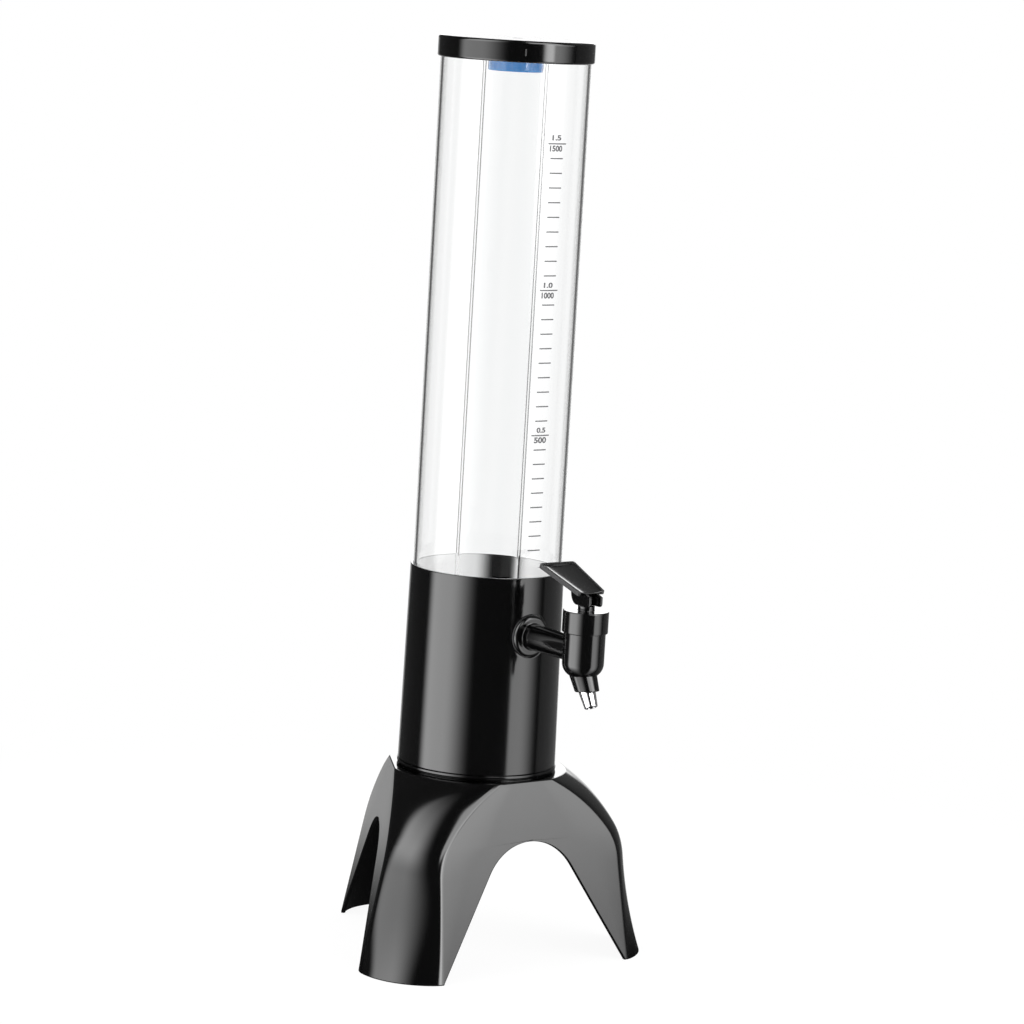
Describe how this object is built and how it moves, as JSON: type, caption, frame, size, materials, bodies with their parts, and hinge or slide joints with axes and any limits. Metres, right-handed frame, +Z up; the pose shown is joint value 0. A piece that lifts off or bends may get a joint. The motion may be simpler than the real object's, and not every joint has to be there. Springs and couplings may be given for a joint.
{
  "type": "drink tower dispenser",
  "caption": "Table-top drink tower: clear tube over a black tap housing on a three-legged base, with a lift-off lid, a hanging ice tube and a lever tap.",
  "frame": {"origin": "on the table, under the tube's axis", "axes": "+Z up the tube, -Y towards the tap, +X to the right as one faces the tap"},
  "size_m": [0.1968, 0.2195, 0.5533],
  "materials": {
    "black_gloss": "gloss black moulded plastic",
    "black_satin": "satin black moulded plastic",
    "clear": "clear polished plastic",
    "blue": "gloss blue moulded plastic",
    "chrome": "bright plated",
    "steel": "zinc-plated or stainless steel",
    "seal": "soft black rubber"
  },
  "bodies": {
    "tower": {"tripod_base": "black_gloss", "base_collar": "black_gloss", "base_screws": "steel", "housing": "black_gloss", "tube_seal": "seal", "container_tube": "clear", "tap_body": "black_gloss", "outer_gasket": "seal", "inner_gasket": "seal", "lock_nut": "black_satin", "tap_bonnet": "black_gloss", "stem_seal": "seal", "valve_spring": "steel", "tap_spout": "black_gloss", "spout_tip": "chrome"},
    "lid": {"lid": "black_gloss", "lid_seal": "seal", "ice_tube_connector": "blue", "lid_screw": "steel", "connector_seal": "seal"},
    "ice_tube": {"ice_tube": "clear"},
    "valve": {"valve_stem": "black_satin", "valve_plug": "seal"},
    "lever": {"tap_lever": "black_gloss", "lever_pin": "steel"}
  },
  "joints": [
    {"name": "lid_lift", "type": "slide", "parent": "tower", "child": "lid", "axis": [0, 0, 1], "range_m": [0, 0.37]},
    {"name": "ice_tube_twist", "type": "hinge", "parent": "lid", "child": "ice_tube", "pos_m": [0, 0, 0.54], "axis": [0, 0, 1], "range_deg": [0, 90]},
    {"name": "stem_lift", "type": "slide", "parent": "tower", "child": "valve", "axis": [0, 0, 1], "range_m": [0, 0.00298], "stiffness_N_per_m": 120, "springref_m": -0.004, "deforming": ["valve_spring"]},
    {"name": "lever_press", "type": "hinge", "parent": "valve", "child": "lever", "pos_m": [0, -0.0984, 0.2319], "axis": [-1, 0, 0], "range_deg": [0, 45]}
  ],
  "couplings": [
    {"joint": "lever_press", "follows": "stem_lift", "rad_per_m": 263.16}
  ]
}
